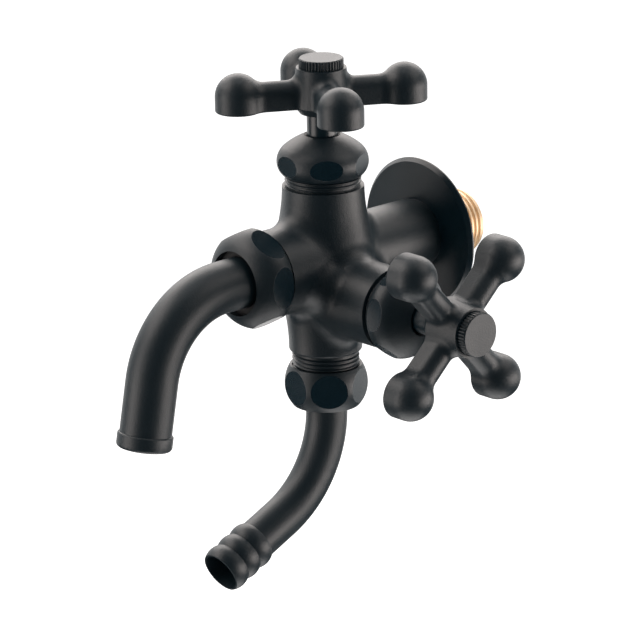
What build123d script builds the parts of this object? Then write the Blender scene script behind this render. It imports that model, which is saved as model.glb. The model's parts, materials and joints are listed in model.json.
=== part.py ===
from build123d import *

import os
from math import sqrt

# Wall tap with two outlets.  One cast body takes water in at the wall and holds two screw-down
# valves: the upper one feeds a bent spout in front, the side one feeds a hose tail below.
# Frame: the origin is where the inlet axis meets the wall, +Y runs into the wall, +Z is up
# and the side valve points to +X.  All sizes are in millimetres.

os.makedirs("parts", exist_ok=True)

# Threads and tubes
PIPE_THREAD_D = 20.955
CAP_THREAD_D = 23.7
SPOUT_THREAD_D = 26.0
SPOUT_TUBE_D = 16.0
SPOUT_TUBE_WALL = 1.0
HOSE_TUBE_D = 13.0
HOSE_TUBE_WALL = 0.9

# Clearances, each measured on the radius or along the axis
THREAD_PLAY = 0.1
TURN_PLAY = 0.08
FACE_PLAY = 0.05
SPINDLE_PLAY = 0.3
NUT_HOLE_PLAY = 0.3

# Wall flange
FLANGE_DEPTH = 1.6
FLANGE_FACE_R = 22.95
FLANGE_BEVEL = 1.15
FLANGE_SHEET = 0.9

# Body casting
STEM_REACH = 39.6
INLET_THREAD_LENGTH = 18.5
INLET_BORE_R = 6.0
REAR_BOSS_R = 11.4
REAR_NECK = 1.8
REAR_NECK_R = 11.0
FLANGE_LAND_R = 10.75
FRONT_BOSS_R = 13.4
FRONT_SHOULDER = 24.5
FRONT_FACE = 30.0
SIDE_DROP = 9.6
SIDE_SHOULDER = 30.3
NECK_SHOULDER = 23.8
NECK_R = 12.7
BELLY_R = 15.5
BELLY_Z = 2.0
TAIL_R = 11.4
TAIL_SHOULDER = 29.0
TAIL_EDGE = 0.8
TAIL_FACE = 39.5
CAST_FILLET = 6.5

# Valve seats and the bores above them
SEAT_Z = 3.8
SEAT_X = 8.2
SEAT_HOLE_R = 5.5
SEAT_LIP = 1.3
SEAT_LIP_RISE = 0.8
SEAT_WEB = 2.0
CHAMBER_R = 9.5
CHAMBER_TOP = 9.5
GALLERY_R = 7.5
INLET_LINK_R = 5.0
SPOUT_LINK_R = 3.5
HOSE_LINK_R = 2.8
SPINDLE_BORE_TOP = 26.5
NECK_TOP = 29.0
WASHER_SEAT_R = 9.0

# Cap nut
CAP_NUT_FOOT = 23.4
CAP_NUT_FOOT_R = 12.0
CAP_NUT_BELLY = 27.7
CAP_NUT_R = 14.2
CAP_NUT_FLATS = 26.6
CAP_NUT_RIM_R = 5.6
CAP_NUT_TOP = 36.1
CAP_NUT_SHOULDER_R = 6.0
CAP_NUT_SHOULDER_ANGLE = 50.0
CAP_CONE_FOOT = 29.8
CAP_CONE_R = 9.8
CAP_CONE_TOP = 33.5
PACKING_WASHER = 1.5

# Spindle and jumper
SPINDLE_THREAD_R = 6.9
SPINDLE_THREAD_TOP = 17.0
SPINDLE_R = 4.7
SPINDLE_NECK = 1.5
DRIVE_SQUARE = 6.4
DRIVE_LENGTH = 8.0
JUMPER_PLATE_R = 7.3
JUMPER_PLATE = 1.5
JUMPER_STEM_R = 2.5
JUMPER_STEM_TOP = 14.0
JUMPER_STUD_R = 1.6
JUMPER_NUT = 1.8
JUMPER_NUT_FLATS = 6.0
SEAL_R = 7.0
SEAL = 2.6

# Cross handle
HANDLE_FOOT = 43.0
HANDLE_FOOT_RISE = 2.0
HUB_HEIGHT = 12.2
ARM_R = 3.9
ARM_WALL = 4.8
BALL_REACH = 26.0
BALL_R = 7.1
BALL_BLEND = 5.0
HUB_R = 8.9
HUB_TOP_R = 7.75
HUB_FOOT_R = 6.8
HUB_BLEND = 3.0
HANDLE_EDGE = 0.6
TOP_HANDLE_ANGLE = 60.0
SIDE_HANDLE_ANGLE = 42.2

# Knurled screw that holds the handle
SCREW_HEAD_R = 6.9
SCREW_HEAD = 3.0
SCREW_R = 2.5
SCREW_LENGTH = 13.5
SCREW_HOLE_DEPTH = 10.0
KNURLS = 44
KNURL_DEPTH = 0.35

# Spout nut, spout and its seals, measured forwards from the vertical axis
SPOUT_NUT_BACK = 25.3
SPOUT_NUT_BACK_R = 13.9
SPOUT_NUT_BELLY = 29.2
SPOUT_NUT_R = 15.6
SPOUT_NUT_FLATS = 28.4
SPOUT_NUT_FRONT = 37.2
SPOUT_NUT_HOLE_R = 10.1
SPOUT_NUT_LIP = 2.5
SPOUT_PACKING = 1.6
SPOUT_COLLAR = 1.8
SPOUT_COLLAR_R = 12.2
SPOUT_TAIL = 4.0
SPOUT_RUN = 5.25
SPOUT_BEND_R = 29.0
SPOUT_BEND_ANGLE = 79.0
SPOUT_END_LENGTH = 19.8
TIP_RING_R = 8.55
TIP_RING = 5.0
TIP_LIP = 0.6
TIP_EDGE = 0.3

# Hose nut, hose tail and its seals, measured down from the inlet axis
HOSE_NUT_TOP = 33.8
HOSE_NUT_TOP_R = 11.3
HOSE_NUT_BELLY = 40.0
HOSE_NUT_R = 13.0
HOSE_NUT_FLATS = 23.3
HOSE_NUT_FOOT = 46.7
HOSE_NUT_FOOT_R = 10.5
HOSE_NUT_LIP = 2.5
HOSE_PACKING = 1.6
HOSE_COLLAR = 1.8
HOSE_COLLAR_R = 9.6
HOSE_TAIL = 4.0
HOSE_RUN = 2.3
HOSE_BEND_R = 33.9
HOSE_BEND_ANGLE = 66.0
HOSE_END_LENGTH = 11.5
BARBS = 3
BARB_PITCH = 5.4
BARB_ROOT_R = 6.8
BARB_RISE = 0.7
BARB_BORE_R = 6.2

# Flats of the hexagon nuts
TOP_NUT_ANGLE = 52.6
SIDE_NUT_ANGLE = 21.0
SPOUT_NUT_ANGLE = 30.0
HOSE_NUT_ANGLE = 7.9

# Radii and places that follow from the sizes above
STEM_Y = -(FLANGE_DEPTH + STEM_REACH)
PIPE_THREAD_R = PIPE_THREAD_D / 2
CAP_THREAD_R = CAP_THREAD_D / 2
SPOUT_THREAD_R = SPOUT_THREAD_D / 2
SPOUT_TUBE_R = SPOUT_TUBE_D / 2
SPOUT_BORE_R = SPOUT_TUBE_R + TURN_PLAY
HOSE_TUBE_R = HOSE_TUBE_D / 2
HOSE_BORE_R = HOSE_TUBE_R + TURN_PLAY
THREADED_BORE_R = SPINDLE_THREAD_R + THREAD_PLAY
SPINDLE_HOLE_R = SPINDLE_R + SPINDLE_PLAY
HANDLE_UNDERSIDE = HANDLE_FOOT + HANDLE_FOOT_RISE
HANDLE_TOP = HANDLE_UNDERSIDE + HUB_HEIGHT

# Planes of the four ports, each with its normal pointing out of the body
top_seat = Plane((0, STEM_Y, SEAT_Z))
side_seat = Plane((SEAT_X, STEM_Y, -SIDE_DROP), x_dir=(0, 1, 0), z_dir=(1, 0, 0))
front_port = Plane((0, STEM_Y, 0), x_dir=(1, 0, 0), z_dir=(0, -1, 0))
bottom_port = Plane((0, STEM_Y, 0), x_dir=(1, 0, 0), z_dir=(0, 0, -1))


def turn(*points, mode=Mode.ADD):
    """Turn a closed outline about the Z axis; each point is a radius and a height."""
    with BuildSketch(Plane.XZ) as outline:
        with BuildLine():
            Polyline(*points, close=True)
        make_face()
    revolve(outline.sketch, axis=Axis.Z, mode=mode)


def belly_arc(radius, belly, end_radius, end):
    """Arc that leaves the widest point of a nut square to its radius and runs to an end point."""
    TangentArc((radius, belly), (end_radius, end), tangent=(0, end - belly))


def hexagon(across_flats, foot, top):
    """Keep only what lies inside a hexagon bar between two heights."""
    with BuildSketch(Plane.XY.offset(foot)) as bar:
        RegularPolygon(across_flats / 2, 6, major_radius=False)
    extrude(bar.sketch, amount=top - foot, mode=Mode.INTERSECT)


def write_piece(piece, label, place=Plane.XY, turned=0):
    """Label a finished piece, turn it about its axis, set it in its place and write its file."""
    placed = piece.moved(place.location * Location((0, 0, 0), (0, 0, turned)))
    placed.label = label
    export_step(placed, f"parts/{label}.step")


# Body: trunk, inlet boss, front boss and side boss are one casting, blended where they meet.
# The outlines are drawn on the far sides, so that their seams stay clear of the blends.
with BuildPart() as tap_body:
    with BuildSketch(Plane.XZ.offset(-STEM_Y)):
        with BuildLine():
            neck_top = SEAT_Z + NECK_TOP
            Polyline((0, neck_top), (-CAP_THREAD_R, neck_top), (-CAP_THREAD_R, NECK_SHOULDER),
                     (-NECK_R, NECK_SHOULDER))
            tail_z = TAIL_EDGE - TAIL_SHOULDER
            Spline((-NECK_R, NECK_SHOULDER), (-BELLY_R, BELLY_Z), (-TAIL_R, tail_z),
                   tangents=[(0, -1), (0, -1)])
            TangentArc((-TAIL_R, tail_z), (TAIL_EDGE - TAIL_R, -TAIL_SHOULDER), tangent=(0, -1))
            Polyline((TAIL_EDGE - TAIL_R, -TAIL_SHOULDER), (-PIPE_THREAD_R, -TAIL_SHOULDER),
                     (-PIPE_THREAD_R, -TAIL_FACE), (0, -TAIL_FACE), (0, neck_top))
        make_face()
    revolve(axis=Axis((0, STEM_Y, 0), (0, 0, 1)))
    with BuildSketch(Plane.XY):
        with BuildLine():
            neck_y = -FLANGE_DEPTH - REAR_NECK
            shoulder_y = STEM_Y - FRONT_SHOULDER
            face_y = STEM_Y - FRONT_FACE
            Polyline((0, INLET_THREAD_LENGTH), (-PIPE_THREAD_R, INLET_THREAD_LENGTH),
                     (-PIPE_THREAD_R, 0), (-FLANGE_LAND_R, 0), (-FLANGE_LAND_R, -FLANGE_DEPTH),
                     (-REAR_NECK_R, -FLANGE_DEPTH), (-REAR_NECK_R, neck_y), (-REAR_BOSS_R, neck_y),
                     (-REAR_BOSS_R, STEM_Y), (-FRONT_BOSS_R, STEM_Y), (-FRONT_BOSS_R, shoulder_y),
                     (-SPOUT_THREAD_R, shoulder_y), (-SPOUT_THREAD_R, face_y), (0, face_y), close=True)
        make_face()
    revolve(axis=Axis.Y)
    with BuildSketch(Plane.XZ.offset(-STEM_Y)):
        with BuildLine():
            side_end = SEAT_X + NECK_TOP
            boss_z = -SIDE_DROP - NECK_R
            thread_z = -SIDE_DROP - CAP_THREAD_R
            Polyline((0, -SIDE_DROP), (0, boss_z), (SIDE_SHOULDER, boss_z), (SIDE_SHOULDER, thread_z),
                     (side_end, thread_z), (side_end, -SIDE_DROP), close=True)
        make_face()
    revolve(axis=Axis((0, STEM_Y, -SIDE_DROP), (1, 0, 0)))
    trunk_height = NECK_SHOULDER + TAIL_SHOULDER
    roots = tap_body.edges().filter_by(GeomType.BSPLINE)
    roots = roots.filter_by(lambda edge: edge.bounding_box().size.Z < trunk_height - CAST_FILLET)
    fillet(roots, CAST_FILLET)

    # Inlet bore, and the round gallery that leads its water under both seats
    with BuildSketch(Plane.XZ.offset(-INLET_THREAD_LENGTH)):
        Circle(INLET_BORE_R)
    extrude(amount=INLET_THREAD_LENGTH - STEM_Y - CHAMBER_R - SEAT_WEB, mode=Mode.SUBTRACT)
    gallery_z = SEAT_Z - SEAT_LIP_RISE - SEAT_WEB - GALLERY_R
    with Locations((0, STEM_Y, gallery_z)):
        Sphere(GALLERY_R, mode=Mode.SUBTRACT)
    with BuildSketch(Plane.XZ.offset(-STEM_Y)):
        with Locations((0, gallery_z + GALLERY_R - SEAT_HOLE_R)):
            Circle(INLET_LINK_R)
    extrude(amount=-(CHAMBER_R + 2 * SEAT_WEB), mode=Mode.SUBTRACT)

    # Each valve: chamber with a raised seat, seat hole, threaded bore and washer seat
    for seat in (top_seat, side_seat):
        with BuildSketch(seat.offset(-SEAT_LIP_RISE)):
            Circle(CHAMBER_R)
            Circle(SEAT_HOLE_R + SEAT_LIP, mode=Mode.SUBTRACT)
        extrude(amount=SEAT_LIP_RISE, mode=Mode.SUBTRACT)
        with BuildSketch(seat):
            Circle(CHAMBER_R)
        extrude(amount=CHAMBER_TOP, mode=Mode.SUBTRACT)
        with BuildSketch(seat):
            Circle(SEAT_HOLE_R)
        extrude(amount=-(SEAT_LIP_RISE + SEAT_WEB + SEAT_HOLE_R), mode=Mode.SUBTRACT)
        with BuildSketch(seat.offset(CHAMBER_TOP)):
            Circle(THREADED_BORE_R)
        extrude(amount=NECK_TOP - CHAMBER_TOP, mode=Mode.SUBTRACT)
        with BuildSketch(seat.offset(SPINDLE_BORE_TOP)):
            Circle(WASHER_SEAT_R)
        extrude(amount=NECK_TOP - SPINDLE_BORE_TOP, mode=Mode.SUBTRACT)

    # Spout bore in front and its link to the upper chamber
    with BuildSketch(front_port.offset(CHAMBER_R + SEAT_WEB)):
        Circle(SPOUT_BORE_R)
    extrude(amount=FRONT_FACE - CHAMBER_R - SEAT_WEB, mode=Mode.SUBTRACT)
    with BuildSketch(front_port):
        with Locations((0, SEAT_Z + SPOUT_LINK_R)):
            Circle(SPOUT_LINK_R)
    extrude(amount=CHAMBER_R + 2 * SEAT_WEB + SPOUT_LINK_R, mode=Mode.SUBTRACT)

    # Hose bore below and its slanted link to the side chamber
    hose_bore_top = TAIL_SHOULDER - HOSE_LINK_R
    with BuildSketch(bottom_port.offset(hose_bore_top)):
        Circle(HOSE_BORE_R)
    extrude(amount=TAIL_FACE - hose_bore_top, mode=Mode.SUBTRACT)
    link_foot = Vector(HOSE_BORE_R - HOSE_LINK_R - SEAT_LIP, STEM_Y, HOSE_LINK_R / 2 - TAIL_SHOULDER)
    link_head = Vector(SEAT_X + CHAMBER_TOP / 2, STEM_Y, HOSE_LINK_R - SIDE_DROP - CHAMBER_R)
    with BuildSketch(Plane(link_foot, z_dir=link_head - link_foot)):
        Circle(HOSE_LINK_R)
    extrude(amount=(link_head - link_foot).length, mode=Mode.SUBTRACT)

tap_body.part.label = "tap_body"
export_step(tap_body.part, "parts/tap_body.step")

# Wall flange: a pressed disc with a bevelled rim, slipped over the thread onto a plain land
with BuildPart() as wall_flange:
    with BuildSketch(Plane.XY):
        with BuildLine():
            rim_r = FLANGE_FACE_R + FLANGE_BEVEL
            hole_r = FLANGE_LAND_R + THREAD_PLAY
            sheet_y = FLANGE_SHEET - FLANGE_DEPTH
            Polyline((hole_r, -FLANGE_DEPTH), (FLANGE_FACE_R, -FLANGE_DEPTH),
                     (rim_r, FLANGE_BEVEL - FLANGE_DEPTH), (rim_r, 0), (rim_r - FLANGE_SHEET, 0),
                     (FLANGE_FACE_R - FLANGE_SHEET / 2, sheet_y), (hole_r, sheet_y), close=True)
        make_face()
    revolve(axis=Axis.Y)
wall_flange.part.label = "wall_flange"
export_step(wall_flange.part, "parts/wall_flange.step")

# The pieces of one valve, drawn upright with the seat lip at height 0.  Both valves use them.

# Cap nut: a dome with six round flats, coned inside to squeeze the packing
with BuildPart() as cap_nut:
    with BuildSketch(Plane.XZ):
        with BuildLine():
            shoulder = JernArc((CAP_NUT_R, CAP_NUT_BELLY), (0, 1), CAP_NUT_SHOULDER_R,
                               CAP_NUT_SHOULDER_ANGLE)
            TangentArc(shoulder @ 1, (CAP_NUT_RIM_R, CAP_NUT_TOP), tangent=shoulder % 1)
            belly_arc(CAP_NUT_R, CAP_NUT_BELLY, CAP_NUT_FOOT_R, CAP_NUT_FOOT)
            nut_thread_r = CAP_THREAD_R + THREAD_PLAY
            rim_foot = CAP_NUT_TOP - (CAP_NUT_RIM_R - SPINDLE_HOLE_R)
            Polyline((CAP_NUT_RIM_R, CAP_NUT_TOP), (SPINDLE_HOLE_R, rim_foot),
                     (SPINDLE_HOLE_R, CAP_CONE_TOP), (CAP_CONE_R, CAP_CONE_FOOT),
                     (nut_thread_r, CAP_CONE_FOOT), (nut_thread_r, CAP_NUT_FOOT),
                     (CAP_NUT_FOOT_R, CAP_NUT_FOOT))
        make_face()
    revolve(axis=Axis.Z)
    hexagon(CAP_NUT_FLATS, CAP_NUT_FOOT, CAP_NUT_TOP)

# Packing washer and the coned rubber packing that it carries
with BuildPart() as packing_washer:
    washer_top = SPINDLE_BORE_TOP + PACKING_WASHER
    washer_r = WASHER_SEAT_R - THREAD_PLAY
    turn((SPINDLE_HOLE_R, SPINDLE_BORE_TOP), (washer_r, SPINDLE_BORE_TOP),
         (washer_r, washer_top), (SPINDLE_HOLE_R, washer_top))

with BuildPart() as packing:
    packing_hole_r = SPINDLE_R + TURN_PLAY
    packing_top = CAP_CONE_TOP - 2 * FACE_PLAY
    turn((packing_hole_r, washer_top), (washer_r, washer_top), (washer_r, CAP_CONE_FOOT - FACE_PLAY),
         (SPINDLE_HOLE_R, packing_top), (packing_hole_r, packing_top))

# Jumper: the loose valve plate that lifts off the seat, with its rubber seal and nut
jumper_top = SEAL + JUMPER_PLATE
with BuildPart() as jumper:
    turn((0, -JUMPER_NUT), (JUMPER_STUD_R, -JUMPER_NUT), (JUMPER_STUD_R, SEAL), (JUMPER_PLATE_R, SEAL),
         (JUMPER_PLATE_R, jumper_top), (JUMPER_STEM_R, jumper_top), (JUMPER_STEM_R, JUMPER_STEM_TOP),
         (0, JUMPER_STEM_TOP))

with BuildPart() as jumper_seal:
    stud_hole_r = JUMPER_STUD_R + THREAD_PLAY
    turn((stud_hole_r, 0), (SEAL_R, 0), (SEAL_R, SEAL), (stud_hole_r, SEAL))

with BuildPart() as jumper_nut:
    with BuildSketch(Plane.XY):
        RegularPolygon(JUMPER_NUT_FLATS / 2, 6, major_radius=False)
        Circle(stud_hole_r, mode=Mode.SUBTRACT)
    extrude(amount=-JUMPER_NUT)

# Spindle: threaded below, hollow for the jumper's stem, with a square and a tapped hole on top
with BuildPart() as spindle:
    spindle_foot = jumper_top + FACE_PLAY
    stem_hole_r = JUMPER_STEM_R + TURN_PLAY
    stem_hole_top = JUMPER_STEM_TOP + JUMPER_PLATE
    turn((stem_hole_r, spindle_foot), (SPINDLE_THREAD_R, spindle_foot),
         (SPINDLE_THREAD_R, SPINDLE_THREAD_TOP), (SPINDLE_R, SPINDLE_THREAD_TOP + SPINDLE_NECK),
         (SPINDLE_R, HANDLE_FOOT), (0, HANDLE_FOOT), (0, stem_hole_top), (stem_hole_r, stem_hole_top))
    drive_top = HANDLE_FOOT + DRIVE_LENGTH
    with BuildSketch(Plane.XY.offset(HANDLE_FOOT)):
        Rectangle(DRIVE_SQUARE, DRIVE_SQUARE)
    extrude(amount=DRIVE_LENGTH)
    with Locations((0, 0, drive_top)):
        Hole(SCREW_R + FACE_PLAY, SCREW_HOLE_DEPTH)

# One arm of the cross handle: round above, straight walled below, with a ball blended to its end
arm_axis = HANDLE_UNDERSIDE + ARM_WALL
blend_y = ARM_R + BALL_BLEND
blend_x = BALL_REACH - sqrt((BALL_R + BALL_BLEND) ** 2 - blend_y ** 2)
ball_share = BALL_R / (BALL_R + BALL_BLEND)
ball_touch = (BALL_REACH - ball_share * (BALL_REACH - blend_x), ball_share * blend_y)
with BuildPart() as arm:
    with BuildSketch(Plane.XY.offset(arm_axis)) as arm_half:
        with BuildLine():
            Polyline((BALL_REACH + BALL_R, 0), (0, 0), (0, ARM_R), (blend_x, ARM_R))
            RadiusArc((blend_x, ARM_R), ball_touch, -BALL_BLEND)
            RadiusArc(ball_touch, (BALL_REACH + BALL_R, 0), BALL_R, short_sagitta=True)
        make_face()
    revolve(axis=Axis((0, 0, arm_axis), (1, 0, 0)), revolution_arc=180)
    with BuildSketch(Plane.XY.offset(HANDLE_UNDERSIDE)):
        add(arm_half.sketch_local)
        mirror(about=Plane.XZ)
    extrude(amount=ARM_WALL)

# Cross handle: four arms on a tapered hub, with a foot that stands on the spindle's shoulder
with BuildPart() as handle:
    with PolarLocations(0, 4):
        add(arm.part)
    with BuildSketch(Plane((0, 0, 0), x_dir=(1, 1, 0), z_dir=(1, -1, 0))):
        with BuildLine():
            Polyline((0, HANDLE_UNDERSIDE), (HUB_R, HANDLE_UNDERSIDE), (HUB_TOP_R, HANDLE_TOP),
                     (0, HANDLE_TOP), close=True)
        make_face()
    revolve(axis=Axis.Z)
    roots = handle.edges(Select.NEW).filter_by(lambda edge: edge.bounding_box().size.Z > ARM_WALL / 2)
    fillet(roots.filter_by(GeomType.LINE, reverse=True), HUB_BLEND)
    fillet(handle.faces().sort_by(Axis.Z)[0].edges(), HANDLE_EDGE)
    turn((0, HANDLE_UNDERSIDE), (HUB_R - HANDLE_EDGE, HANDLE_UNDERSIDE), (HUB_FOOT_R, HANDLE_FOOT),
         (0, HANDLE_FOOT))
    socket = DRIVE_SQUARE + 2 * TURN_PLAY
    with BuildSketch(Plane.XY.offset(HANDLE_FOOT)):
        Rectangle(socket, socket)
    extrude(amount=DRIVE_LENGTH + TURN_PLAY, mode=Mode.SUBTRACT)
    with Locations((0, 0, HANDLE_TOP)):
        Hole(SCREW_R + THREAD_PLAY)

# Knurled screw: its wide head clamps the handle to the spindle
with BuildPart() as handle_screw:
    head_top = HANDLE_TOP + SCREW_HEAD
    turn((0, HANDLE_TOP - SCREW_LENGTH), (SCREW_R, HANDLE_TOP - SCREW_LENGTH), (SCREW_R, HANDLE_TOP),
         (SCREW_HEAD_R, HANDLE_TOP), (SCREW_HEAD_R, head_top - KNURL_DEPTH),
         (SCREW_HEAD_R - KNURL_DEPTH, head_top), (0, head_top))
    with BuildSketch(Plane.XY.offset(HANDLE_TOP)):
        with PolarLocations(SCREW_HEAD_R, KNURLS):
            RegularPolygon(KNURL_DEPTH, 4)
    extrude(amount=SCREW_HEAD, mode=Mode.SUBTRACT)

for name, seat, nut_turn, handle_turn in (
    ("top", top_seat, TOP_NUT_ANGLE, TOP_HANDLE_ANGLE),
    ("side", side_seat, SIDE_NUT_ANGLE, SIDE_HANDLE_ANGLE),
):
    write_piece(cap_nut.part, f"{name}_cap_nut", seat, nut_turn)
    write_piece(packing_washer.part, f"{name}_packing_washer", seat)
    write_piece(packing.part, f"{name}_packing", seat)
    write_piece(jumper.part, f"{name}_jumper", seat)
    write_piece(jumper_seal.part, f"{name}_jumper_seal", seat)
    write_piece(jumper_nut.part, f"{name}_jumper_nut", seat)
    write_piece(spindle.part, f"{name}_spindle", seat, handle_turn)
    write_piece(handle.part, f"{name}_handle", seat, handle_turn)
    write_piece(handle_screw.part, f"{name}_handle_screw", seat, handle_turn)

# Spout nut: a barrel with six round flats; its front lip holds the spout's collar
with BuildPart() as spout_nut:
    with BuildSketch(Plane.XZ):
        with BuildLine():
            belly_arc(SPOUT_NUT_R, SPOUT_NUT_BELLY, SPOUT_NUT_HOLE_R, SPOUT_NUT_FRONT)
            belly_arc(SPOUT_NUT_R, SPOUT_NUT_BELLY, SPOUT_NUT_BACK_R, SPOUT_NUT_BACK)
            nut_thread_r = SPOUT_THREAD_R + THREAD_PLAY
            lip_back = SPOUT_NUT_FRONT - SPOUT_NUT_LIP
            Polyline((SPOUT_NUT_HOLE_R, SPOUT_NUT_FRONT), (SPOUT_NUT_HOLE_R, lip_back),
                     (nut_thread_r, lip_back), (nut_thread_r, SPOUT_NUT_BACK),
                     (SPOUT_NUT_BACK_R, SPOUT_NUT_BACK))
        make_face()
    revolve(axis=Axis.Z)
    hexagon(SPOUT_NUT_FLATS, SPOUT_NUT_BACK, SPOUT_NUT_FRONT)
write_piece(spout_nut.part, "spout_nut", front_port, SPOUT_NUT_ANGLE)

# Seals of the spout: a rubber packing behind its collar and a slip ring in front of it
collar_back = FRONT_FACE + SPOUT_PACKING + FACE_PLAY
collar_front = collar_back + SPOUT_COLLAR
with BuildPart() as spout_packing:
    turn((SPOUT_BORE_R, FRONT_FACE), (SPOUT_COLLAR_R, FRONT_FACE),
         (SPOUT_COLLAR_R, FRONT_FACE + SPOUT_PACKING), (SPOUT_BORE_R, FRONT_FACE + SPOUT_PACKING))
write_piece(spout_packing.part, "spout_packing", front_port)

with BuildPart() as spout_slip_ring:
    slip_back = collar_front + FACE_PLAY
    turn((SPOUT_BORE_R, slip_back), (SPOUT_COLLAR_R, slip_back), (SPOUT_COLLAR_R, lip_back),
         (SPOUT_BORE_R, lip_back))
write_piece(spout_slip_ring.part, "spout_slip_ring", front_port)

# Spout: a bent tube with a collar brazed on behind the nut's lip
with BuildPart() as spout:
    with BuildLine(Plane.YZ) as spout_line:
        run_end = STEM_Y - SPOUT_NUT_FRONT - SPOUT_RUN
        run = Line((STEM_Y - FRONT_FACE + SPOUT_TAIL, 0), (run_end, 0))
        bend = JernArc(run @ 1, run % 1, SPOUT_BEND_R, SPOUT_BEND_ANGLE)
        PolarLine(bend @ 1, SPOUT_END_LENGTH, direction=bend % 1)
    with BuildSketch(Plane(spout_line.line @ 0, z_dir=spout_line.line % 0)):
        Circle(SPOUT_TUBE_R)
        Circle(SPOUT_TUBE_R - SPOUT_TUBE_WALL, mode=Mode.SUBTRACT)
    sweep()
    with BuildSketch(front_port.offset(collar_back)):
        Circle(SPOUT_COLLAR_R)
        Circle(SPOUT_TUBE_R - SPOUT_TUBE_WALL, mode=Mode.SUBTRACT)
    extrude(amount=SPOUT_COLLAR)
    spout_mouth = Plane(spout_line.line @ 1, x_dir=(1, 0, 0), z_dir=spout_line.line % 1)
spout.part.label = "spout"
export_step(spout.part, "parts/spout.step")

# Tip ring: a rounded collar pressed on the spout's mouth
with BuildPart() as tip_ring:
    ring_top = TIP_LIP - TIP_RING
    turn((SPOUT_TUBE_R + FACE_PLAY, ring_top), (TIP_RING_R, ring_top), (TIP_RING_R, TIP_LIP),
         (SPOUT_TUBE_R - SPOUT_TUBE_WALL, TIP_LIP), (SPOUT_TUBE_R - SPOUT_TUBE_WALL, FACE_PLAY),
         (SPOUT_TUBE_R + FACE_PLAY, FACE_PLAY))
    rims = tip_ring.edges().filter_by(GeomType.CIRCLE)
    fillet(rims.filter_by(lambda edge: edge.radius > TIP_RING_R - FACE_PLAY), TIP_EDGE)
write_piece(tip_ring.part, "spout_tip_ring", spout_mouth)

# Hose nut: a tall barrel with six round flats under the lower port
with BuildPart() as hose_nut:
    with BuildSketch(Plane.XZ):
        with BuildLine():
            belly_arc(HOSE_NUT_R, HOSE_NUT_BELLY, HOSE_NUT_FOOT_R, HOSE_NUT_FOOT)
            belly_arc(HOSE_NUT_R, HOSE_NUT_BELLY, HOSE_NUT_TOP_R, HOSE_NUT_TOP)
            nut_thread_r = PIPE_THREAD_R + THREAD_PLAY
            hose_lip = HOSE_NUT_FOOT - HOSE_NUT_LIP
            hose_hole_r = HOSE_TUBE_R + NUT_HOLE_PLAY
            Polyline((HOSE_NUT_FOOT_R, HOSE_NUT_FOOT), (hose_hole_r, HOSE_NUT_FOOT),
                     (hose_hole_r, hose_lip), (nut_thread_r, hose_lip), (nut_thread_r, HOSE_NUT_TOP),
                     (HOSE_NUT_TOP_R, HOSE_NUT_TOP))
        make_face()
    revolve(axis=Axis.Z)
    hexagon(HOSE_NUT_FLATS, HOSE_NUT_TOP, HOSE_NUT_FOOT)
write_piece(hose_nut.part, "hose_nut", bottom_port, HOSE_NUT_ANGLE)

# Seals of the hose tail
hose_collar_top = TAIL_FACE + HOSE_PACKING + FACE_PLAY
hose_collar_foot = hose_collar_top + HOSE_COLLAR
with BuildPart() as hose_packing:
    turn((HOSE_BORE_R, TAIL_FACE), (HOSE_COLLAR_R, TAIL_FACE),
         (HOSE_COLLAR_R, TAIL_FACE + HOSE_PACKING), (HOSE_BORE_R, TAIL_FACE + HOSE_PACKING))
write_piece(hose_packing.part, "hose_packing", bottom_port)

with BuildPart() as hose_slip_ring:
    slip_top = hose_collar_foot + FACE_PLAY
    turn((HOSE_BORE_R, slip_top), (HOSE_COLLAR_R, slip_top), (HOSE_COLLAR_R, hose_lip),
         (HOSE_BORE_R, hose_lip))
write_piece(hose_slip_ring.part, "hose_slip_ring", bottom_port)

# Hose tail: a bent tube with a collar above and rolled barbs at its mouth
with BuildPart() as hose_tail:
    with BuildLine(Plane.YZ) as hose_line:
        drop = Line((STEM_Y, HOSE_TAIL - TAIL_FACE), (STEM_Y, -HOSE_NUT_FOOT - HOSE_RUN))
        hose_bend = JernArc(drop @ 1, drop % 1, HOSE_BEND_R, -HOSE_BEND_ANGLE)
        PolarLine(hose_bend @ 1, HOSE_END_LENGTH, direction=hose_bend % 1)
    with BuildSketch(Plane(hose_line.line @ 0, z_dir=hose_line.line % 0)):
        Circle(HOSE_TUBE_R)
        Circle(HOSE_TUBE_R - HOSE_TUBE_WALL, mode=Mode.SUBTRACT)
    sweep()
    with BuildSketch(bottom_port.offset(hose_collar_top)):
        Circle(HOSE_COLLAR_R)
        Circle(HOSE_TUBE_R - HOSE_TUBE_WALL, mode=Mode.SUBTRACT)
    extrude(amount=HOSE_COLLAR)
    barb_start = hose_line.line @ 1
    barb_way = hose_line.line % 1
    barb_length = BARBS * BARB_PITCH
    with BuildSketch(Plane(barb_start, x_dir=barb_way, z_dir=(1, 0, 0))):
        with BuildLine():
            Polyline((0, BARB_ROOT_R), (0, BARB_BORE_R), (barb_length, BARB_BORE_R),
                     (barb_length, BARB_ROOT_R))
            for barb in range(BARBS):
                foot = barb * BARB_PITCH
                ThreePointArc((foot, BARB_ROOT_R), (foot + BARB_PITCH / 2, BARB_ROOT_R + BARB_RISE),
                              (foot + BARB_PITCH, BARB_ROOT_R))
        make_face()
    revolve(axis=Axis(barb_start, barb_way))
hose_tail.part.label = "hose_tail"
export_step(hose_tail.part, "parts/hose_tail.step")
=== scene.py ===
# %% [markdown]
# # A black wall tap with two outlets
# This lesson dresses a finished CAD model. The CAD pieces arrive as a fixed frame: each one is
# already in its place, in metres, with +Y running into the wall and +Z up. Blender adds what
# the solids leave out: screw threads, the sandy black coat, bare brass and studio light.

# %% Load the frame
import bmesh
import bpy
import json
from cmath import phase
from collections import namedtuple
from math import cos, pi, radians, sin
from mathutils import Matrix, Vector

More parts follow.
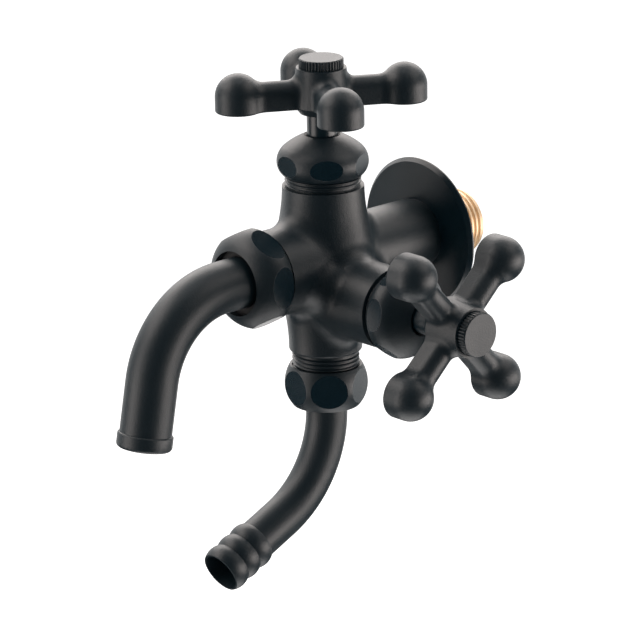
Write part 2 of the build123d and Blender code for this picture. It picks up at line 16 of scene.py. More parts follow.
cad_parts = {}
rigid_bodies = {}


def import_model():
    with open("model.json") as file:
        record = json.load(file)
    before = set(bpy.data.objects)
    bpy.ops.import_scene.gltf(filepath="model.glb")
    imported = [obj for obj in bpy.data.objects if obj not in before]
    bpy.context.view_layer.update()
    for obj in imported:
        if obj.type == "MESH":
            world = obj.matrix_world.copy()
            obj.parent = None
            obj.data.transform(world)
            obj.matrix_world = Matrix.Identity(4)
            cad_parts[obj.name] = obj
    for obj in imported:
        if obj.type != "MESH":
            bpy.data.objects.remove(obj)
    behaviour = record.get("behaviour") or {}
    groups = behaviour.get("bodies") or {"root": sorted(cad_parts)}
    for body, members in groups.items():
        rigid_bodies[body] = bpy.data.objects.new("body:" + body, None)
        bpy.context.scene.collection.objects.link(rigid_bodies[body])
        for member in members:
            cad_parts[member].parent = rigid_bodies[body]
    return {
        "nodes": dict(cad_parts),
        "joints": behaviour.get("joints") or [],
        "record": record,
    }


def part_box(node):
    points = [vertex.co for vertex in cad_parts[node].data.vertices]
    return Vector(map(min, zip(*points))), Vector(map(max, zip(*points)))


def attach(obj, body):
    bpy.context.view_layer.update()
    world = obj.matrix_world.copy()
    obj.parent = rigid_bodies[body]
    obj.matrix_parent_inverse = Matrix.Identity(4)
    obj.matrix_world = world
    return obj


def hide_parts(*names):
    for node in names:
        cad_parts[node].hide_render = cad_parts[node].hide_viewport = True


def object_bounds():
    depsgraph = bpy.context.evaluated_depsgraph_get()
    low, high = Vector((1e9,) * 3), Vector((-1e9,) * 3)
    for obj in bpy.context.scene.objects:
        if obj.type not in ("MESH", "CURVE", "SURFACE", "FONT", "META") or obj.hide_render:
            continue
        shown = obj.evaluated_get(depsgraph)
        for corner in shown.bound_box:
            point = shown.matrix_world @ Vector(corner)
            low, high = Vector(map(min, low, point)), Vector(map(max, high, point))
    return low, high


for leftover in list(bpy.data.objects):
    bpy.data.objects.remove(leftover)
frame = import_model()
cad_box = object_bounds()
slot_of_node = {part["node"]: part["material_slot"] for part in frame["record"]["subparts"]}

# %% [markdown]
# ## Places that every piece shares
# The joints say where the axes of the tap run, so no place has to be typed twice. The upper
# valve stands on the stem axis, the side valve crosses it lower down, and the inlet runs
# along Y through the origin.

# %% Axes and heights
MM = 0.001
joints = {joint["name"]: joint for joint in frame["joints"]}
mounts = {mount["name"]: mount for mount in frame["record"]["mounts"]}
stem_y = joints["top_handle_turn"]["pos_m"][1]
side_z = joints["side_handle_turn"]["pos_m"][2]
pipe_radius = mounts["inlet"]["dims"]["r_mm"] * MM
inlet_foot = Vector((0, 0, 0))
stem_foot = Vector((0, stem_y, 0))
side_middle = Vector((0, stem_y, side_z))
print(f"stem axis at y = {stem_y / MM:.1f} mm, side valve at z = {side_z / MM:.1f} mm")

# %% [markdown]
# ## Writing shader maths as Python
# A material is a graph of nodes. Wiring each Math node by hand hides the formula, so a small
# class wraps a socket and lets `+`, `-`, `*` and `/` add the nodes. One method makes every
# other node: it sets the node's own options first and then its sockets.

# %% A value that builds its own Math nodes
class Value:
    """A socket of a node tree that can be used in sums."""

    def __init__(self, graph, socket):
        self.graph = graph
        self.socket = socket

    def combine(self, operation, first, second):
        return self.graph.add("ShaderNodeMath", {"operation": operation}, {0: first, 1: second})

    def __add__(self, other):
        return self.combine("ADD", self, other)

    def __radd__(self, other):
        return self.combine("ADD", other, self)

    def __sub__(self, other):
        return self.combine("SUBTRACT", self, other)

    def __rsub__(self, other):
        return self.combine("SUBTRACT", other, self)

    def __mul__(self, other):
        return self.combine("MULTIPLY", self, other)

    def __rmul__(self, other):
        return self.combine("MULTIPLY", other, self)

    def __truediv__(self, other):
        return self.combine("DIVIDE", self, other)

    def clamp(self):
        return self.graph.add("ShaderNodeClamp", {}, {"Value": self})


class Graph:
    """A node tree with one method that adds any node."""

    def __init__(self, tree):
        self.tree = tree
        tree.nodes.clear()

    def add(self, kind, settings, inputs, output=0):
        node = self.tree.nodes.new(kind)
        for name, value in settings.items():
            setattr(node, name, value)
        for key, value in inputs.items():
            if isinstance(value, Value):
                self.tree.links.new(value.socket, node.inputs[key])
            else:
                node.inputs[key].default_value = value
        return None if output is None else Value(self, node.outputs[output])


print("sockets can be used in sums")

# %% Helpers for every material
# A Mix node has one pair of sockets for each kind of data. These are its colour sockets.
MIX_FIRST, MIX_SECOND, MIX_RESULT = 6, 7, 2


def new_material(name):
    material = bpy.data.materials.new(name)
    material.use_nodes = True
    return material, Graph(material.node_tree)


def place_on_piece(graph):
    """The Object coordinates, which keep a pattern fixed to its piece."""
    return graph.add("ShaderNodeTexCoord", {}, {}, "Object")


def noise(graph, place, scale, detail):
    """Soft random values from 0 to 1. The scale says how many blots lie along a metre."""
    return graph.add("ShaderNodeTexNoise", {}, {"Vector": place, "Scale": scale, "Detail": detail})


def bumps(graph, height, strength, distance):
    """Normals of a bumpy surface. The distance, in metres, is how high a height of 1 stands."""
    sockets = {"Strength": strength, "Distance": distance, "Height": height}
    return graph.add("ShaderNodeBump", {}, sockets)


def mix_colour(graph, factor, first, second):
    sockets = {0: factor, MIX_FIRST: first, MIX_SECOND: second}
    return graph.add("ShaderNodeMix", {"data_type": "RGBA"}, sockets, MIX_RESULT)


def finish_material(graph, sockets):
    """End a material in a Principled shader with these sockets."""
    shader = graph.add("ShaderNodeBsdfPrincipled", {}, sockets)
    graph.add("ShaderNodeOutputMaterial", {}, {"Surface": shader}, None)


print("material helpers are ready")

# %% [markdown]
# ## The black coat
# The tap is brass under a thin matte black coat: broad grey highlights over a deep bluish
# black. A coat like this is no bare metal, so Metallic stays at zero. The blue black is the
# base colour, and the grey comes from the coat's own reflection, set by its IOR. Fine noise in
# the bump makes the sandy grain that the photo shows on the flat cap faces, and slow noise
# varies the roughness so that no highlight is perfect. The flange is pressed from sheet and
# the spindles are turned, so the coat lies smoother on them.

# %% Black coat
COAT_DARK = (0.0012, 0.0086, 0.0136, 1)
COAT_LIGHT = (0.0028, 0.0140, 0.0212, 1)
COAT_IOR = 1.62
CLOUDS_PER_METRE, CLOUD_DETAIL, CLOUD_SHARE = 90.0, 3.0, 0.6
GRAINS_PER_METRE, GRAIN_DETAIL = 2200.0, 2.0
GRAIN_STRENGTH, GRAIN_HEIGHT = 0.50, 0.00012
SANDY_ROUGHNESS, SANDY_CLOUDS, SANDY_GRAIN = 0.36, 0.10, 0.08
SMOOTH_ROUGHNESS, SMOOTH_CLOUDS = 0.20, 0.06
SHEET_SMOOTHNESS = 0.7


def coat_sockets(graph, place, smooth=0.0):
    """Sockets of the black coat. Where smooth is 1, the metal below is flat and shows no grain."""
    clouds = noise(graph, place, CLOUDS_PER_METRE, CLOUD_DETAIL)
    grain = noise(graph, place, GRAINS_PER_METRE, GRAIN_DETAIL)
    shade = (CLOUD_SHARE * clouds + (1 - CLOUD_SHARE) * grain).clamp()
    sandy = SANDY_ROUGHNESS + SANDY_CLOUDS * clouds + SANDY_GRAIN * grain
    polished = SMOOTH_ROUGHNESS + SMOOTH_CLOUDS * clouds
    return {"Base Color": mix_colour(graph, shade, COAT_DARK, COAT_LIGHT),
            "Roughness": (1 - smooth) * sandy + smooth * polished,
            "Normal": bumps(graph, (1 - smooth) * grain, GRAIN_STRENGTH, GRAIN_HEIGHT),
            "IOR": COAT_IOR}


black_coat, coat = new_material("matte_black_coat")
finish_material(coat, coat_sockets(coat, place_on_piece(coat)))
smooth_coat, coat = new_material("smooth_black_coat")
finish_material(coat, coat_sockets(coat, place_on_piece(coat), SHEET_SMOOTHNESS))
print("made", black_coat.name, "and", smooth_coat.name)

# %% [markdown]
# ## Flats of the nuts
# The nuts are cast sandy, but their flats are milled, so the flats carry a smoother coat and
# look blacker from the front. They could be cut out as faces of their own. It is simpler to let
# the material find them: a point lies on a flat where its distance from the nut's axis, measured
# along a flat's normal, reaches half the width across flats. The CAD mesh tells how wide the
# nut is and how its flats are turned: flats are the outward faces that run along the axis.

# %% Find the flats of a nut
NUT_SIDES = 6
LEAN_SLACK = 0.001


def flats_of_nut(node, origin, axis):
    """Half the width across flats of a nut, and the normals of three of its flats."""
    across = axis.orthogonal().normalized()
    upright = axis.cross(across)
    area, reach, turn = 0.0, 0.0, 0j
    for face in frame["nodes"][node].data.polygons:
        out = (face.center - origin).dot(face.normal)
        if out > 0 and abs(face.normal.dot(axis)) < LEAN_SLACK:
            heading = complex(face.normal.dot(across), face.normal.dot(upright))
            area += face.area
            reach += face.area * out
            turn += face.area * heading ** NUT_SIDES
    first = phase(turn) / NUT_SIDES
    angles = [first + side * 2 * pi / NUT_SIDES for side in range(NUT_SIDES // 2)]
    return reach / area, [across * cos(angle) + upright * sin(angle) for angle in angles]


nuts = {
    "top_cap_nut": (stem_foot, Vector((0, 0, 1))),
    "side_cap_nut": (side_middle, Vector((1, 0, 0))),
    "spout_nut": (inlet_foot, Vector((0, 1, 0))),
    "hose_nut": (stem_foot, Vector((0, 0, 1))),
}
flats = {node: flats_of_nut(node, origin, axis) for node, (origin, axis) in nuts.items()}
for node, (half, normals) in flats.items():
    print(f"{node}: {2 * half / MM:.2f} mm across flats")

# %% A coat that knows the flats
FLAT_SLACK = 0.03 * MM


def flat_mask(graph, place, origin, half, normals):
    """One on the flats of a nut, zero on its round parts."""
    reach = 0.0
    for normal in normals:
        along = graph.add("ShaderNodeVectorMath", {"operation": "DOT_PRODUCT"},
                          {0: place, 1: normal}, "Value")
        out = graph.add("ShaderNodeMath", {"operation": "ABSOLUTE"},
                        {0: along - origin.dot(normal)})
        reach = graph.add("ShaderNodeMath", {"operation": "MAXIMUM"}, {0: reach, 1: out})
    # The mask is full within one slack of a flat and fades out at two.
    return ((reach - half) / FLAT_SLACK + 2).clamp()


nut_coats = {}
for node, (origin, axis) in nuts.items():
    nut_coats[node], nut = new_material(node + "_coat")
    place = place_on_piece(nut)
    finish_material(nut, coat_sockets(nut, place, flat_mask(nut, place, origin, *flats[node])))
print("nut coats:", ", ".join(nut_coats))

# %% [markdown]
# ## Bare brass
# The inlet thread is left uncoated, because it is hidden in the wall. It is turned brass: a
# warm yellow metal with faint rings left by the tool. Modelled rings would cost many faces, so
# they are a wave along Y in the bump, so fine that it only breaks up the highlight.

# %% Turned brass
BRASS_DARK = (0.80, 0.57, 0.35, 1)
BRASS_LIGHT = (0.93, 0.74, 0.52, 1)
BRASS_METALLIC = 0.8
BRASS_DETAIL = 4.0
BRASS_SHADE, SHADE_CLOUDS, SHADE_RINGS = 0.25, 0.5, 0.2
BRASS_ROUGHNESS, BRASS_CLOUDS = 0.44, 0.16
RINGS_PER_METRE, RING_WOBBLE = 1400.0, 1.5
RING_STRENGTH, RING_HEIGHT = 0.1, 0.00005


def brass_sockets(graph, place):
    """Sockets of turned brass."""
    clouds = noise(graph, place, CLOUDS_PER_METRE, BRASS_DETAIL)
    rings = graph.add("ShaderNodeTexWave", {"bands_direction": "Y"},
                      {"Vector": place, "Scale": RINGS_PER_METRE, "Distortion": RING_WOBBLE}, "Fac")
    shade = (BRASS_SHADE + SHADE_CLOUDS * clouds + SHADE_RINGS * rings).clamp()
    return {"Base Color": mix_colour(graph, shade, BRASS_DARK, BRASS_LIGHT),
            "Roughness": BRASS_ROUGHNESS + BRASS_CLOUDS * clouds,
            "Normal": bumps(graph, rings, RING_STRENGTH, RING_HEIGHT),
            "Metallic": BRASS_METALLIC}


turned_brass, brass = new_material("turned_brass")
finish_material(brass, brass_sockets(brass, place_on_piece(brass)))
print("made", turned_brass.name)

# %% [markdown]
# ## Seals
# Rubber packings and plastic slip rings sit inside the nuts. They hardly show, yet each gets
# its own finish: dull black rubber with a faint bloom, and smoother black plastic. They differ
# only in colours and roughness, so one function makes both instead of two graphs.

# %% Rubber and slip plastic
RUBBER_DARK, RUBBER_LIGHT = (0.012, 0.012, 0.013, 1), (0.035, 0.034, 0.033, 1)
PLASTIC_DARK, PLASTIC_LIGHT = (0.001, 0.003, 0.005, 1), (0.002, 0.005, 0.008, 1)
RUBBER_ROUGHNESS, PLASTIC_ROUGHNESS, BLOOM_ROUGHNESS = 0.65, 0.55, 0.1
BLOOM_PER_METRE, BLOOM_DETAIL = 600.0, 3.0
BLOOM_STRENGTH, BLOOM_HEIGHT = 0.15, 0.0001


def plain_finish(name, dark, light, roughness):
    """A dull material whose colour drifts between two shades."""
    material, graph = new_material(name)
    bloom = noise(graph, place_on_piece(graph), BLOOM_PER_METRE, BLOOM_DETAIL)
    finish_material(graph, {"Base Color": mix_colour(graph, bloom, dark, light),
                            "Roughness": roughness + BLOOM_ROUGHNESS * bloom,
                            "Normal": bumps(graph, bloom, BLOOM_STRENGTH, BLOOM_HEIGHT)})
    return material


finishes = {
    "black_coat": black_coat,
    "brass": turned_brass,
    "seal_rubber": plain_finish("seal_rubber", RUBBER_DARK, RUBBER_LIGHT, RUBBER_ROUGHNESS),
    "slip_ring": plain_finish("slip_plastic", PLASTIC_DARK, PLASTIC_LIGHT, PLASTIC_ROUGHNESS),
}
print("finishes:", ", ".join(finishes))

# %% [markdown]
# ## Screw threads
# Four threads show on the tap: the bare one at the wall, a few turns above the trunk, one or
# two beside it and a few more below it. A bump map would leave their outline straight, so the
# ridges are real: a spiral curve carries a four-sided profile, and the ridge runs out at both
# ends. Geometry Nodes fit here, because one tree with named sizes serves all four threads.

# %% Inputs of the thread tree
THREAD_SIZES = ("Root Radius", "Pitch", "Turns", "Depth", "Crest")

thread_tree = bpy.data.node_groups.new("thread_ridge", "GeometryNodeTree")
ridge = Graph(thread_tree)
interface = thread_tree.interface
size_sockets = {
    name: interface.new_socket(name, in_out="INPUT", socket_type="NodeSocketFloat")
    for name in THREAD_SIZES
}
finish_socket = interface.new_socket("Finish", in_out="INPUT", socket_type="NodeSocketMaterial")
interface.new_socket("Geometry", in_out="OUTPUT", socket_type="NodeSocketGeometry")
entry = thread_tree.nodes.new("NodeGroupInput")
root, pitch, turns, depth, crest = (Value(ridge, entry.outputs[name]) for name in THREAD_SIZES)
ridge_finish = Value(ridge, entry.outputs["Finish"])
print("thread sizes:", ", ".join(THREAD_SIZES))

# %% Sweep the profile along a spiral
# RIDGE_STEPS: points to a turn. RIDGE_ROOT: half the width of the ridge's foot, as a share of
# the pitch. RIDGE_SINK: how far the foot sinks into the metal, as a share of the depth. The ridge
# grows from RUN_OUT_SCALE to its full size over RUN_OUT_TURNS.
RIDGE_STEPS = 72
RIDGE_ROOT = 0.46
RIDGE_SINK = 0.25
RUN_OUT_TURNS = 0.35
RUN_OUT_SCALE = 0.12

spiral = ridge.add("GeometryNodeCurveSpiral", {}, {
    "Resolution": RIDGE_STEPS, "Rotations": turns, "Start Radius": root, "End Radius": root,
    "Height": pitch * turns})
upright = ridge.add("GeometryNodeSetCurveNormal", {"mode": "Z_UP"}, {"Curve": spiral})


def corner(inwards, along):
    """A corner of the profile. With upright normals, its X points towards the axis."""
    return ridge.add("ShaderNodeCombineXYZ", {}, {"X": inwards, "Y": along})


profile = ridge.add("GeometryNodeCurvePrimitiveQuadrilateral", {"mode": "POINTS"}, {
    "Point 1": corner(RIDGE_SINK * depth, -RIDGE_ROOT * pitch),
    "Point 2": corner(-1 * depth, -0.5 * crest),
    "Point 3": corner(-1 * depth, 0.5 * crest),
    "Point 4": corner(RIDGE_SINK * depth, RIDGE_ROOT * pitch)})
share = ridge.add("GeometryNodeSplineParameter", {}, {}, "Factor")
from_end = ridge.add("ShaderNodeMath", {"operation": "MINIMUM"}, {0: share, 1: 1 - share})
run_out = (from_end * turns / RUN_OUT_TURNS).clamp()
swept = ridge.add("GeometryNodeCurveToMesh", {}, {
    "Curve": upright, "Profile Curve": profile, "Fill Caps": True,
    "Scale": RUN_OUT_SCALE + (1 - RUN_OUT_SCALE) * run_out})
solid = ridge.add("GeometryNodeRealizeInstances", {}, {"Geometry": swept})
dressed = ridge.add("GeometryNodeSetMaterial", {}, {"Geometry": solid, "Material": ridge_finish})
ridge.add("NodeGroupOutput", {}, {"Geometry": dressed}, None)
print("thread tree:", len(thread_tree.nodes), "nodes")

# %% [markdown]
# ## The body and its threads
# In the CAD model a thread is a plain cylinder at its outer size. Here a copy of the body is
# pulled in to the root of each thread, and a ridge is wound round it, so that the crests end
# where the CAD cylinder was. Only the end rings of a cylinder hold points, so moving those
# rings moves the whole wall. A CAD mesh is made of loose triangles, so the copy is merged first
# and then gets its smooth normals back. The original stays hidden for collisions.

# %% Helpers for meshes
def reshape(mesh, change):
    """Open a mesh for editing, change it and write it back."""
    form = bmesh.new()
    form.from_mesh(mesh)
    change(form)
    form.to_mesh(mesh)
    form.free()


def turn_outwards(form):
    bmesh.ops.recalc_face_normals(form, faces=form.faces)


def smooth_mesh(mesh, sharp_degrees):
    """Shade a mesh smoothly, apart from edges that are sharper than an angle."""
    mesh.shade_smooth()
    mesh.set_sharp_from_angle(angle=radians(sharp_degrees))


def new_object(name, data):
    thing = bpy.data.objects.new(name, data)
    bpy.context.scene.collection.objects.link(thing)
    return thing


print("mesh helpers are ready")

# %% Wind a ridge round an axis
RIDGE_SHARP = 25


def wind_ridge(name, foot, turn, sizes, finish):
    """Make one ridge with the thread tree, as a plain mesh in its place."""
    piece = new_object(name, bpy.data.meshes.new(name))
    maker = piece.modifiers.new("thread", "NODES")
    maker.node_group = thread_tree
    for size in THREAD_SIZES:
        maker[size_sockets[size].identifier] = sizes[size]
    maker[finish_socket.identifier] = finish
    depsgraph = bpy.context.evaluated_depsgraph_get()
    mesh = bpy.data.meshes.new_from_object(piece.evaluated_get(depsgraph))
    piece.modifiers.clear()
    mesh.transform(Matrix.Translation(foot) @ turn.to_4x4())
    reshape(mesh, turn_outwards)
    smooth_mesh(mesh, RIDGE_SHARP)
    piece.data = mesh
    return piece


print("ridges can be wound")

# %% Pull a cylinder in
RING_SLACK = 0.01 * MM


def pull_in(mesh, foot, turn, radius, length, root_radius):
    """Move both end rings of a cylinder, from foot along the turned Z axis, to a root radius."""
    moved = 0
    for point in mesh.vertices:
        local = turn.transposed() @ (point.co - foot)
        on_ring = abs(local.xy.length - radius) < RING_SLACK
        if on_ring and min(abs(local.z), abs(local.z - length)) < RING_SLACK:
            local.xy *= root_radius / radius
            point.co = turn @ local + foot
            moved += 1
    return moved


print("cylinders can be pulled in")

# %% Where the threads start and how much of them shows
NECK_START = 23.8 * MM
SIDE_START = 30.3 * MM
LOWER_START = 29.0 * MM

neck_foot = stem_foot + Vector((0, 0, NECK_START))
side_foot = side_middle + Vector((SIDE_START, 0, 0))
lower_foot = stem_foot - Vector((0, 0, LOWER_START))
neck_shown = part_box("top_cap_nut")[0].z - neck_foot.z
side_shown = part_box("side_cap_nut")[0].x - side_foot.x
lower_shown = lower_foot.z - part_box("hose_nut")[1].z
for side, shown in (("above", neck_shown), ("beside", side_shown), ("below", lower_shown)):
    print(f"{shown / MM:.1f} mm of thread shows {side} the trunk")

# %% Sizes of the four threads
# foot and turn: where the CAD cylinder starts and which way it runs. length: how long it is.
# ridged: the length that gets a ridge. crest: the width of the crest as a share of the pitch.
Thread = namedtuple("Thread", "foot turn radius length ridged pitch depth crest finish")
UPWARDS = Matrix.Identity(3)
TO_WALL = Matrix.Rotation(-pi / 2, 3, "X")
TO_SIDE = Matrix.Rotation(pi / 2, 3, "Y")
DOWNWARDS = Matrix.Rotation(pi, 3, "X")
PIPE_PITCH, PIPE_DEPTH, PIPE_CREST = 1.814 * MM, 0.75 * MM, 0.42
NECK_PITCH, NECK_DEPTH, NECK_RADIUS = 1.2 * MM, 0.55 * MM, 11.85 * MM
LOWER_PITCH, LOWER_DEPTH = 1.35 * MM, 0.6 * MM
THIN_CREST = 0.18
INTO_NUT = 1.2 * MM

body_low, body_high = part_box("tap_body")
threads = {
    "inlet_thread": Thread(
        foot=inlet_foot, turn=TO_WALL, radius=pipe_radius,
        length=body_high.y, ridged=body_high.y,
        pitch=PIPE_PITCH, depth=PIPE_DEPTH, crest=PIPE_CREST, finish=turned_brass),
    "top_neck_thread": Thread(
        foot=neck_foot, turn=UPWARDS, radius=NECK_RADIUS,
        length=body_high.z - neck_foot.z, ridged=neck_shown + INTO_NUT,
        pitch=NECK_PITCH, depth=NECK_DEPTH, crest=THIN_CREST, finish=black_coat),
    "side_neck_thread": Thread(
        foot=side_foot, turn=TO_SIDE, radius=NECK_RADIUS,
        length=body_high.x - side_foot.x, ridged=side_shown + INTO_NUT,
        pitch=NECK_PITCH, depth=NECK_DEPTH, crest=THIN_CREST, finish=black_coat),
    "lower_thread": Thread(
        foot=lower_foot, turn=DOWNWARDS, radius=pipe_radius,
        length=lower_foot.z - body_low.z, ridged=lower_shown + INTO_NUT,
        pitch=LOWER_PITCH, depth=LOWER_DEPTH, crest=THIN_CREST, finish=black_coat),
}
print("threads:", ", ".join(threads))

# %% Thread the body
# RIDGE_GAP: how many pitches a ridge stops short of either end.
MERGE_GAP = 0.0001 * MM
RIDGE_GAP = 0.3


def merge_points(form):
    bmesh.ops.remove_doubles(form, verts=form.verts, dist=MERGE_GAP)


body_mesh = frame["nodes"]["tap_body"].data.copy()
smooth_normals = [normal.vector.copy() for normal in body_mesh.corner_normals]
reshape(body_mesh, merge_points)
body_mesh.normals_split_custom_set(smooth_normals)
body_piece = new_object("tap_body_threaded", body_mesh)
ridges = []
for name, thread in threads.items():
    root_radius = thread.radius - thread.depth
    moved = pull_in(body_mesh, thread.foot, thread.turn, thread.radius, thread.length, root_radius)
    start = thread.foot + thread.turn @ Vector((0, 0, RIDGE_GAP * thread.pitch))
    sizes = {"Root Radius": root_radius, "Pitch": thread.pitch,
             "Turns": thread.ridged / thread.pitch - 2 * RIDGE_GAP,
             "Depth": thread.depth, "Crest": thread.crest * thread.pitch}
    ridges.append(wind_ridge(name, start, thread.turn, sizes, thread.finish))
    print(f"{name}: {moved} points pulled in, {len(ridges[-1].data.polygons)} faces of ridge")

# %% [markdown]
# ## Coat and brass on one casting
# The body is one piece with two finishes: coated outside, bare brass from the flange backwards.
# It could be cut in two at the flange, but a blend keeps it one casting, as the real one is. Its
# material mixes both finishes by the Object coordinate Y, with a short soft edge under the
# flange, where the coat was masked off.

# %% Body material
MASK_Y = -0.6 * MM
MASK_WIDTH = 0.4 * MM

body_finish, casting = new_material("coated_casting")
place = place_on_piece(casting)
depth_in_wall = casting.add("ShaderNodeSeparateXYZ", {}, {"Vector": place}, "Y")
bare = ((depth_in_wall - MASK_Y) / MASK_WIDTH).clamp()
outer = casting.add("ShaderNodeBsdfPrincipled", {}, coat_sockets(casting, place))
inner = casting.add("ShaderNodeBsdfPrincipled", {}, brass_sockets(casting, place))
both = casting.add("ShaderNodeMixShader", {}, {0: bare, 1: outer, 2: inner})
casting.add("ShaderNodeOutputMaterial", {}, {"Surface": both}, None)

body_mesh.materials.clear()
body_mesh.materials.append(body_finish)
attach(body_piece, "tap")
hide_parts("tap_body")
for piece in ridges:
    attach(piece, "tap")
print("body dressed with", len(ridges), "threads")

# %% [markdown]
# ## A rolled ring on the spout
# The photo shows the ring at the spout's mouth as a soft roll, while the CAD ring has only
# narrow rounded edges. A bevel would have to work on the CAD mesh's triangles. It is cleaner to
# draw the profile again, as two quarter ellipses, and to spin it round the axis of the mouth.
# Its outer sizes come from the CAD ring, so the new one stays inside it.

# %% Measure the CAD ring
MOUTH_TILT = 79

to_mouth = Matrix.Rotation(radians(MOUTH_TILT - 90), 3, "X")
ring_points = [to_mouth.transposed() @ point.co
               for point in frame["nodes"]["spout_tip_ring"].data.vertices]
heights = [point.z for point in ring_points]
depths = [point.y for point in ring_points]
ring_low, ring_high = min(heights), max(heights)
ring_middle = Vector((0, (min(depths) + max(depths)) / 2))
radii = [(point.xy - ring_middle).length for point in ring_points]
ring_inner, ring_outer = min(radii), max(radii)
print(f"ring: {2 * ring_outer / MM:.2f} mm wide, {(ring_high - ring_low) / MM:.2f} mm high")

# %% Spin the ring
ROLL_LOW = 1.3 * MM
ROLL_HIGH = 0.7 * MM
ROLL_LIP = 0.1 * MM
ROLL_STEPS = 8
SPIN_STEPS = 96
ROLL_SHARP = 40

lip = ring_inner + ROLL_LIP
swell = ring_outer - lip
quarter = [step / ROLL_STEPS * pi / 2 for step in range(ROLL_STEPS + 1)]
low_edge = [(lip + swell * sin(angle), ring_low + ROLL_LOW * (1 - cos(angle)))
            for angle in quarter]
high_edge = [(lip + swell * cos(angle), ring_high - ROLL_HIGH * (1 - sin(angle)))
             for angle in quarter]
outline = [(ring_inner, ring_low)] + low_edge + high_edge + [(ring_inner, ring_high)]


def spin_ring(form):
    """Close the outline and spin it once round the Z axis."""
    points = [form.verts.new((radius, 0, height)) for radius, height in outline]
    sides = [form.edges.new((points[i - 1], points[i])) for i in range(len(points))]
    bmesh.ops.spin(form, geom=points + sides, cent=(0, 0, 0), axis=(0, 0, 1),
                   angle=2 * pi, steps=SPIN_STEPS, use_merge=True)
    turn_outwards(form)


ring_mesh = bpy.data.meshes.new("spout_tip_roll")
reshape(ring_mesh, spin_ring)
ring_mesh.transform(to_mouth.to_4x4() @ Matrix.Translation((0, ring_middle.y, 0)))
smooth_mesh(ring_mesh, ROLL_SHARP)
ring_mesh.materials.append(black_coat)
roll = new_object("spout_tip_roll", ring_mesh)
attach(roll, "spout_arm")
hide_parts("spout_tip_ring")
print("rolled ring:", len(ring_mesh.polygons), "faces")

# %% [markdown]
# ## Finishes for the other pieces
# All other CAD pieces already have the right shape and smooth normals, so they stay. Each one
# takes the finish of its slot in the part's record, except that nuts, flange and spindles have
# their own kind of black coat.

# %% Hand out the finishes
own_coats = {**nut_coats, "wall_flange": smooth_coat,
             "top_spindle": smooth_coat, "side_spindle": smooth_coat}
for node, piece in frame["nodes"].items():
    piece.data.materials.clear()
    piece.data.materials.append(own_coats.get(node, finishes[slot_of_node[node]]))
print("finished", len(frame["nodes"]), "CAD pieces")

# %% [markdown]
# ## The studio
# The photo shows the tap against plain white, with soft lights on both sides and a dark room in
# front that gives the metal its black centre lines. A pale floor lies far below, so that its
# shadow stays out of the picture. A dark tent that the camera does not see stands for the room
# in front: it is what the metal mirrors between the lights. The tent is open behind the tap, so
# the edges of the metal pick up the white backdrop, and it is open above and below it.

# %% Places round the tap
CAMERA_AZIMUTH = 47.55
CAMERA_ELEVATION = 17.497
CENTRE = (cad_box[0] + cad_box[1]) / 2


def direction(azimuth, elevation):
    """A direction away from the tap, by its angle from the front to the right and its height."""
    around, above = radians(azimuth), radians(elevation)
    return Vector((sin(around) * cos(above), -cos(around) * cos(above), sin(above)))


def from_camera(azimuth, elevation, distance):
    """A place round the tap, by its angle to the right of the camera and its height angle."""
    return CENTRE + distance * direction(CAMERA_AZIMUTH + azimuth, elevation)


def stage_mesh(name, build, material):
    """A mesh that belongs to the studio and not to the tap."""
    mesh = bpy.data.meshes.new(name)
    reshape(mesh, build)
    mesh.materials.append(material)
    thing = new_object(name, mesh)
    return thing


print("centre of the tap, mm:", [round(place / MM, 1) for place in CENTRE])

# %% Pale floor
FLOOR_GAP = 0.30
FLOOR_SIZE = 6.0
FLOOR_COLOUR = (0.86, 0.86, 0.86, 1)
FLOOR_LIFT = 0.85
WHITE = (1, 1, 1, 1)
SEEN_RAYS = ("Is Camera Ray", "Is Glossy Ray", "Is Transmission Ray")
floor_height = cad_box[0].z - FLOOR_GAP


def seen_directly(graph):
    """One for rays by which the camera sees a thing, also in a mirror or through glass."""
    rays = [graph.add("ShaderNodeLightPath", {}, {}, ray) for ray in SEEN_RAYS]
    return sum(rays, 0.0).clamp()


def floor_sheet(form):
    place = Matrix.Translation((0, 0, floor_height))
    bmesh.ops.create_grid(form, size=FLOOR_SIZE / 2, matrix=place)


floor_finish, ground = new_material("pale_floor")
matte = ground.add("ShaderNodeBsdfDiffuse", {}, {"Color": FLOOR_COLOUR})
lift = ground.add("ShaderNodeEmission", {}, {
    "Color": WHITE, "Strength": FLOOR_LIFT * seen_directly(ground)})
pale = ground.add("ShaderNodeAddShader", {}, {0: matte, 1: lift})
ground.add("ShaderNodeOutputMaterial", {}, {"Surface": pale}, None)
stage_mesh("floor", floor_sheet, floor_finish)
print(f"floor at z = {floor_height:.3f} m")

# %% Dark tent
TENT_COLOUR = (0.010, 0.022, 0.030, 1)
TENT_RADIUS = 1.1
TENT_AROUND, TENT_UP = 48, 24
TENT_OPENING = -0.53
TENT_TURN = 4
CARPET_LIFT = 0.02
TENT_HOLE = 0.20


def front_tent(form):
    """A ball and a carpet, cut away behind the tap and straight above and below it."""
    bmesh.ops.create_uvsphere(form, u_segments=TENT_AROUND, v_segments=TENT_UP, radius=TENT_RADIUS)
    carpet = Matrix.Translation((0, 0, floor_height + CARPET_LIFT))
    bmesh.ops.create_grid(form, x_segments=TENT_AROUND, y_segments=TENT_AROUND, size=TENT_RADIUS,
                          matrix=carpet)
    front = direction(CAMERA_AZIMUTH + TENT_TURN, 0)
    bright = [point for point in form.verts
              if point.co.dot(front) < TENT_OPENING * TENT_RADIUS
              or (point.co - CENTRE).xy.length < TENT_HOLE]
    bmesh.ops.delete(form, geom=bright, context="VERTS")


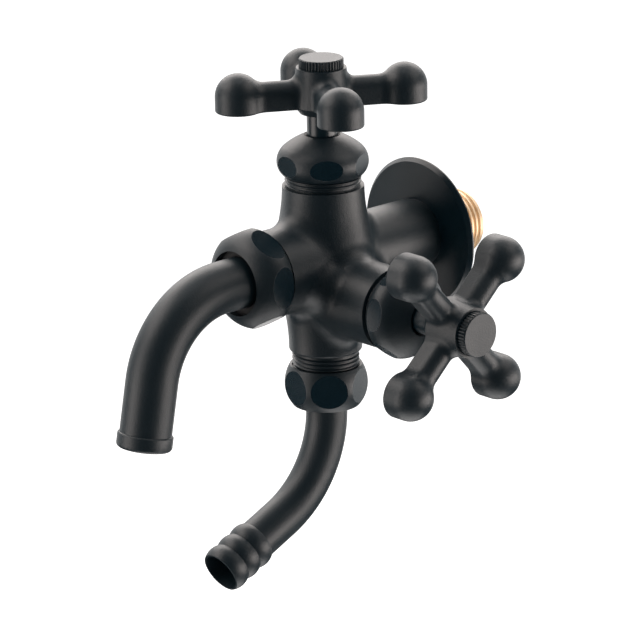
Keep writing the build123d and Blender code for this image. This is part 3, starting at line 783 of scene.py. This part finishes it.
tent_finish, cloth = new_material("dark_tent")
dim = cloth.add("ShaderNodeBsdfDiffuse", {}, {"Color": TENT_COLOUR})
cloth.add("ShaderNodeOutputMaterial", {}, {"Surface": dim}, None)
tent = stage_mesh("tent", front_tent, tent_finish)
tent.visible_camera = False
tent.visible_diffuse = False
tent.visible_shadow = False
print("tent:", len(tent.data.polygons), "faces")

# %% White world
WORLD_LIGHT = 0.4

world = bpy.data.worlds.new("white_studio")
bpy.context.scene.world = world
world.use_nodes = True
sky = Graph(world.node_tree)
backdrop = sky.add("ShaderNodeBackground", {}, {
    "Color": WHITE, "Strength": WORLD_LIGHT + (1 - WORLD_LIGHT) * seen_directly(sky)})
sky.add("ShaderNodeOutputWorld", {}, {"Surface": backdrop}, None)
print("world:", world.name)

# %% [markdown]
# ## Soft lights
# Upright metal mirrors what lies low at the sides, and domes mirror what lies higher up. So two
# lights stand low, two hang high, and one comes over the top from behind for the cap faces.
# All are large, because a large light gives a broad soft highlight.

# %% Five lights
WARM_WHITE = (1.0, 0.915, 0.87)


def soft_light(name, azimuth, elevation, distance, width, height, power):
    """A flat light that faces the tap, with its place as seen from the camera."""
    lamp = bpy.data.lights.new(name, "AREA")
    lamp.shape = "RECTANGLE"
    lamp.size, lamp.size_y = width, height
    lamp.energy = power
    lamp.color = WARM_WHITE
    holder = new_object(name, lamp)
    holder.location = from_camera(azimuth, elevation, distance)
    holder.rotation_euler = (CENTRE - holder.location).to_track_quat("-Z", "Y").to_euler()


soft_light("left_light", azimuth=-73, elevation=-4, distance=0.65,
           width=0.42, height=0.6, power=1.95)
soft_light("high_left_light", azimuth=-98, elevation=46, distance=0.8,
           width=0.8, height=0.5, power=3.4)
soft_light("high_right_light", azimuth=95, elevation=50, distance=0.8,
           width=0.7, height=0.5, power=1.6)
soft_light("right_light", azimuth=82, elevation=-8, distance=0.75,
           width=0.8, height=0.4, power=4.2)
soft_light("top_light", azimuth=180, elevation=34, distance=0.8,
           width=1.0, height=0.6, power=5.6)
print("lights:", len(bpy.data.lights))

# %% [markdown]
# ## The camera
# A camera can be placed by eye, but circles in the photo, such as the cap faces and the flange,
# tell the photo's own viewpoint more exactly. It stands far away with a long lens and leans by
# about one degree. Its axes are worked out from two angles and that lean.

# %% Camera
CAMERA_ROLL = 0.96
CAMERA_DISTANCE = 1277.644 * MM
CAMERA_SIDE = 1.318 * MM
CAMERA_RISE = 18.919 * MM
FOCAL_PIXELS = 4136.781
PHOTO_PIXELS = 640
SENSOR_WIDTH = 36.0
NEAREST_SEEN = 0.05

camera_data = bpy.data.cameras.new("photo_camera")
camera_data.sensor_width = SENSOR_WIDTH
camera_data.lens = FOCAL_PIXELS / PHOTO_PIXELS * SENSOR_WIDTH
camera_data.clip_start = NEAREST_SEEN
back = direction(CAMERA_AZIMUTH, CAMERA_ELEVATION)
right = direction(CAMERA_AZIMUTH + 90, 0)
roll_turn = Matrix.Rotation(radians(CAMERA_ROLL), 3, "Z")
to_world = (roll_turn @ Matrix((right, back.cross(right), back))).transposed()
eye = to_world @ Vector((-CAMERA_SIDE, -CAMERA_RISE, CAMERA_DISTANCE)) + stem_foot
camera = new_object("photo_camera", camera_data)
camera.matrix_world = Matrix.Translation(eye) @ to_world.to_4x4()
bpy.context.scene.camera = camera
bpy.context.scene.view_settings.view_transform = "Standard"
print(f"lens {camera_data.lens:.1f} mm")

# %% [markdown]
# ## The end
# The dressed tap may not outgrow the CAD model.

# %% Finish
print("the scene is built")
